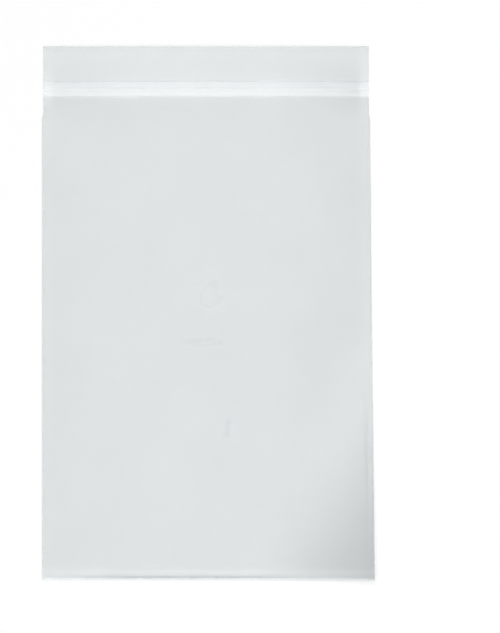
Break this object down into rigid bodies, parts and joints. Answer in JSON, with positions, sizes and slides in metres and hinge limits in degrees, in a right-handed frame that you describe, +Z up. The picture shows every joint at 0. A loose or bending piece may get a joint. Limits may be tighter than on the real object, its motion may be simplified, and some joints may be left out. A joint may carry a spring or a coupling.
{
  "type": "zipper bag",
  "caption": "Flat, empty press-to-close film bag with a folded bottom, welded sides, an interlocking rib zip and loose lips above it.",
  "frame": {"origin": "centre of the bag's outline, on the surface that its rear wall lies on", "axes": "+X across the bag, +Y from the bottom fold towards the mouth, +Z up through the front wall"},
  "size_m": [0.1024, 0.1644, 0.003],
  "materials": {
    "film": "clear, slightly hazy low-density polyethylene film, whiter along the zip"
  },
  "bodies": {
    "root": {"zipper_bag": "film"}
  },
  "joints": []
}
